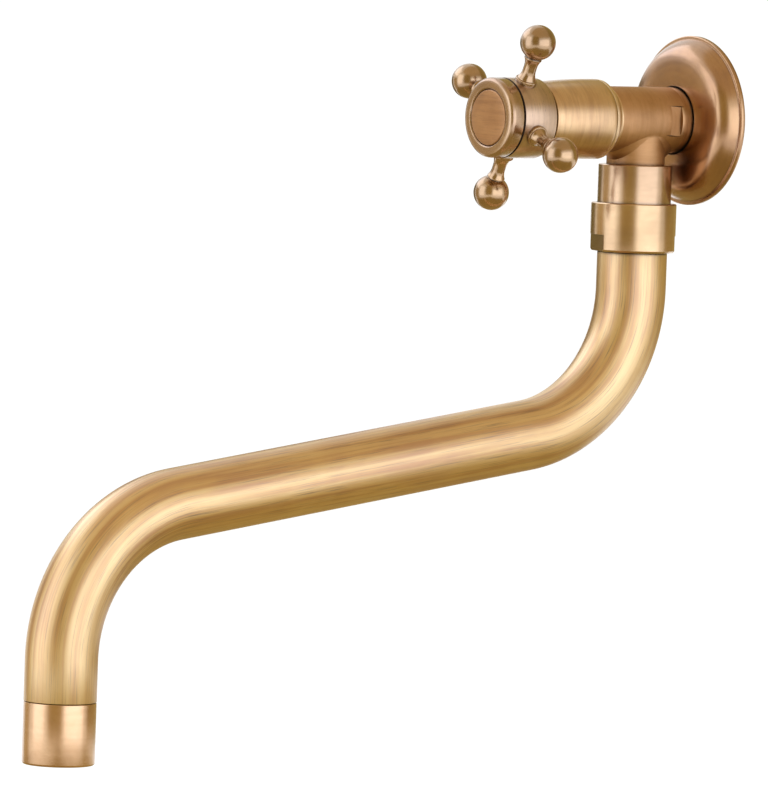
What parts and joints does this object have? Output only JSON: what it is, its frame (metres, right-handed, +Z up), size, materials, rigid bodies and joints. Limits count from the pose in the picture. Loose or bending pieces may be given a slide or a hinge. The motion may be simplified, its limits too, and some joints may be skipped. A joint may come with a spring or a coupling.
{
  "type": "wall mounted pot filler",
  "caption": "Wall mounted brass tap with a round flange, a ball-ended cross handle and a long bent spout that swings sideways.",
  "frame": {"origin": "where the axis of the tap's body meets the wall", "axes": "+Z up, +Y into the wall along the body's axis, +X to the right of someone who faces the wall; the spout at rest points out of the wall along -Y"},
  "size_m": [0.0664, 0.2943, 0.2557],
  "materials": {
    "aged_brass": "brushed, aged",
    "collar_brass": "turned, aged",
    "nut_brass": "turned, aged",
    "hub_brass": "turned, aged",
    "arm_brass": "polished, aged",
    "index_brass": "brushed",
    "spout_brass": "brushed lengthwise",
    "mouth_brass": "turned",
    "raw_brass": "machined",
    "spring_steel": "plain",
    "black_rubber": "matt",
    "grey_fibre": "matt",
    "white_ceramic": "lapped",
    "grey_plastic": "moulded"
  },
  "bodies": {
    "tap_body": {"escutcheon": "aged_brass", "escutcheon_oring": "black_rubber", "valve_body": "aged_brass", "outlet_adapter": "collar_brass", "outlet_washer": "black_rubber", "swivel_nut": "nut_brass", "seat_seal": "black_rubber", "fixed_ceramic_disc": "white_ceramic", "headwork_housing": "raw_brass", "headwork_gasket": "grey_fibre", "bonnet": "aged_brass"},
    "handle": {"moving_ceramic_disc": "white_ceramic", "spindle": "raw_brass", "spindle_orings": "black_rubber", "stop_ring": "raw_brass", "spindle_clip": "spring_steel", "handle_hub": "hub_brass", "handle_arm_1": "arm_brass", "handle_arm_2": "arm_brass", "handle_arm_3": "arm_brass", "handle_arm_4": "arm_brass", "handle_screw": "spring_steel", "handle_screw_washer": "spring_steel", "handle_cap": "hub_brass", "index_plate": "index_brass"},
    "spout": {"spout_tail": "raw_brass", "spout_orings": "black_rubber", "split_ring": "spring_steel", "spout_tube": "spout_brass", "outlet_ferrule": "raw_brass", "aerator_housing": "mouth_brass", "aerator_washer": "black_rubber", "aerator_body": "grey_plastic", "aerator_screen": "spring_steel", "flow_straightener": "grey_plastic"}
  },
  "joints": [
    {"name": "spout_swivel", "type": "hinge", "parent": "tap_body", "child": "spout", "pos_m": [0, -0.02506, -0.045], "axis": [0, 0, 1], "range_deg": [-90, 90]},
    {"name": "handle_turn", "type": "hinge", "parent": "tap_body", "child": "handle", "pos_m": [0, -0.08025, 0], "axis": [0, -1, 0], "range_deg": [0, 90]}
  ]
}
